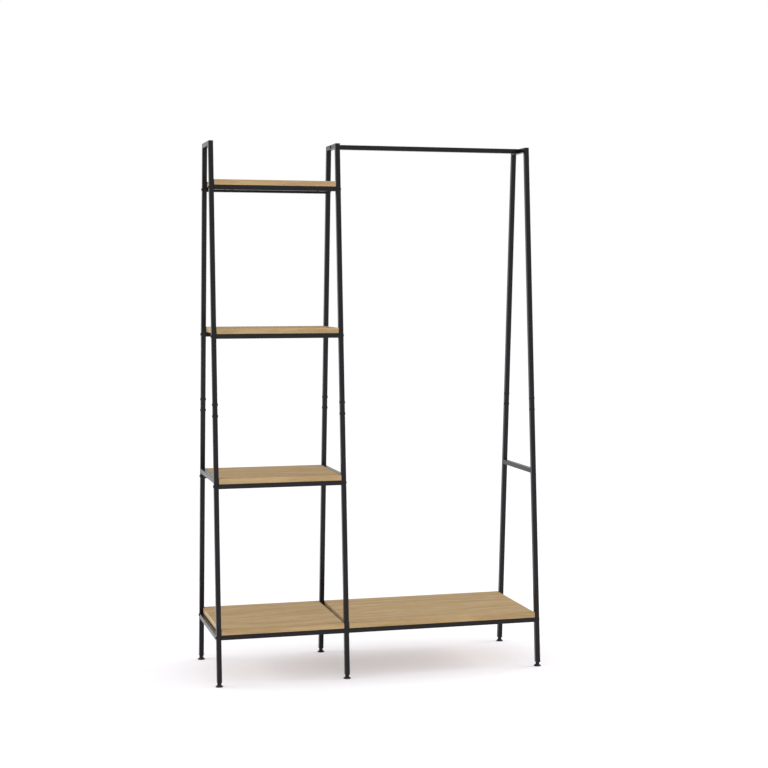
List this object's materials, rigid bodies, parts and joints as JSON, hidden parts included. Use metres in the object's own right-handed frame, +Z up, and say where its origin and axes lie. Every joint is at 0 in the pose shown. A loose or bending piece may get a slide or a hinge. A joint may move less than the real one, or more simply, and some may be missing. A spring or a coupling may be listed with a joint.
{
  "type": "clothes rack",
  "caption": "Freestanding clothes rack of black square steel tube with oak-look shelves on one side and a hanging rail over a long low shelf on the other.",
  "frame": {"origin": "middle of the rack's base on the floor", "axes": "+Z up, -Y towards the front, -X towards the four-shelf bay"},
  "size_m": [1.137, 0.4226, 1.8],
  "materials": {
    "frame_black": "satin black powder coat with a fine orange peel",
    "oak_board": "matt oak-look laminate with grain along the length",
    "bolt_black": "black oxide",
    "zinc_steel": "zinc plated",
    "plug_plastic": "moulded nylon",
    "foot_black": "moulded black plastic"
  },
  "bodies": {
    "root": {"back_lower_leg_left": "frame_black", "back_lower_leg_middle": "frame_black", "back_lower_leg_right": "frame_black", "back_rail_1": "frame_black", "back_rail_2": "frame_black", "back_rail_3": "frame_black", "back_rail_4": "frame_black", "back_rail_long": "frame_black", "back_upper_leg_left": "frame_black", "back_upper_leg_middle": "frame_black", "back_upper_leg_right": "frame_black", "bottom_crossbar_left": "frame_black", "bottom_crossbar_middle": "frame_black", "bottom_crossbar_right": "frame_black", "foot_plugs": "plug_plastic", "front_lower_leg_left": "frame_black", "front_lower_leg_middle": "frame_black", "front_lower_leg_right": "frame_black", "front_rail_1": "frame_black", "front_rail_2": "frame_black", "front_rail_3": "frame_black", "front_rail_4": "frame_black", "front_rail_long": "frame_black", "front_upper_leg_left": "frame_black", "front_upper_leg_middle": "frame_black", "front_upper_leg_right": "frame_black", "hanging_rail": "frame_black", "hanging_rail_bolts": "bolt_black", "hanging_rail_plugs": "zinc_steel", "mid_crossbar_left": "frame_black", "mid_crossbar_middle": "frame_black", "mid_crossbar_right": "frame_black", "middle_studs": "zinc_steel", "rail_bolts": "bolt_black", "rail_plugs": "zinc_steel", "shelf_1": "oak_board", "shelf_2": "oak_board", "shelf_3": "oak_board", "shelf_4": "oak_board", "shelf_long": "oak_board", "shelf_screws": "zinc_steel", "splice_bolts": "bolt_black", "splice_nuts": "bolt_black", "splice_sleeves": "frame_black", "top_bar_left": "frame_black", "top_bar_middle": "frame_black", "top_bar_right": "frame_black"},
    "foot_front_left": {"foot_pad_front_left": "foot_black"},
    "stem_front_left": {"foot_stem_front_left": "bolt_black"},
    "foot_back_left": {"foot_pad_back_left": "foot_black"},
    "stem_back_left": {"foot_stem_back_left": "bolt_black"},
    "foot_front_middle": {"foot_pad_front_middle": "foot_black"},
    "stem_front_middle": {"foot_stem_front_middle": "bolt_black"},
    "foot_back_middle": {"foot_pad_back_middle": "foot_black"},
    "stem_back_middle": {"foot_stem_back_middle": "bolt_black"},
    "foot_front_right": {"foot_pad_front_right": "foot_black"},
    "stem_front_right": {"foot_stem_front_right": "bolt_black"},
    "foot_back_right": {"foot_pad_back_right": "foot_black"},
    "stem_back_right": {"foot_stem_back_right": "bolt_black"}
  },
  "joints": [
    {"name": "foot_travel_front_left", "type": "slide", "parent": "root", "child": "foot_front_left", "axis": [0, 0, 1], "range_m": [-0.012, 0.0015]},
    {"name": "stem_turn_front_left", "type": "hinge", "parent": "foot_front_left", "child": "stem_front_left", "pos_m": [-0.556, -0.19883, 0], "axis": [0, 0, 1], "range_deg": [-3456, 432]},
    {"name": "foot_travel_back_left", "type": "slide", "parent": "root", "child": "foot_back_left", "axis": [0, 0, 1], "range_m": [-0.012, 0.0015]},
    {"name": "stem_turn_back_left", "type": "hinge", "parent": "foot_back_left", "child": "stem_back_left", "pos_m": [-0.556, 0.19883, 0], "axis": [0, 0, 1], "range_deg": [-3456, 432]},
    {"name": "foot_travel_front_middle", "type": "slide", "parent": "root", "child": "foot_front_middle", "axis": [0, 0, 1], "range_m": [-0.012, 0.0015]},
    {"name": "stem_turn_front_middle", "type": "hinge", "parent": "foot_front_middle", "child": "stem_front_middle", "pos_m": [-0.1235, -0.19883, 0], "axis": [0, 0, 1], "range_deg": [-3456, 432]},
    {"name": "foot_travel_back_middle", "type": "slide", "parent": "root", "child": "foot_back_middle", "axis": [0, 0, 1], "range_m": [-0.012, 0.0015]},
    {"name": "stem_turn_back_middle", "type": "hinge", "parent": "foot_back_middle", "child": "stem_back_middle", "pos_m": [-0.1235, 0.19883, 0], "axis": [0, 0, 1], "range_deg": [-3456, 432]},
    {"name": "foot_travel_front_right", "type": "slide", "parent": "root", "child": "foot_front_right", "axis": [0, 0, 1], "range_m": [-0.012, 0.0015]},
    {"name": "stem_turn_front_right", "type": "hinge", "parent": "foot_front_right", "child": "stem_front_right", "pos_m": [0.556, -0.19883, 0], "axis": [0, 0, 1], "range_deg": [-3456, 432]},
    {"name": "foot_travel_back_right", "type": "slide", "parent": "root", "child": "foot_back_right", "axis": [0, 0, 1], "range_m": [-0.012, 0.0015]},
    {"name": "stem_turn_back_right", "type": "hinge", "parent": "foot_back_right", "child": "stem_back_right", "pos_m": [0.556, 0.19883, 0], "axis": [0, 0, 1], "range_deg": [-3456, 432]}
  ],
  "couplings": [
    {"joint": "stem_turn_front_left", "follows": "foot_travel_front_left", "rad_per_m": 5026.5},
    {"joint": "stem_turn_back_left", "follows": "foot_travel_back_left", "rad_per_m": 5026.5},
    {"joint": "stem_turn_front_middle", "follows": "foot_travel_front_middle", "rad_per_m": 5026.5},
    {"joint": "stem_turn_back_middle", "follows": "foot_travel_back_middle", "rad_per_m": 5026.5},
    {"joint": "stem_turn_front_right", "follows": "foot_travel_front_right", "rad_per_m": 5026.5},
    {"joint": "stem_turn_back_right", "follows": "foot_travel_back_right", "rad_per_m": 5026.5}
  ]
}
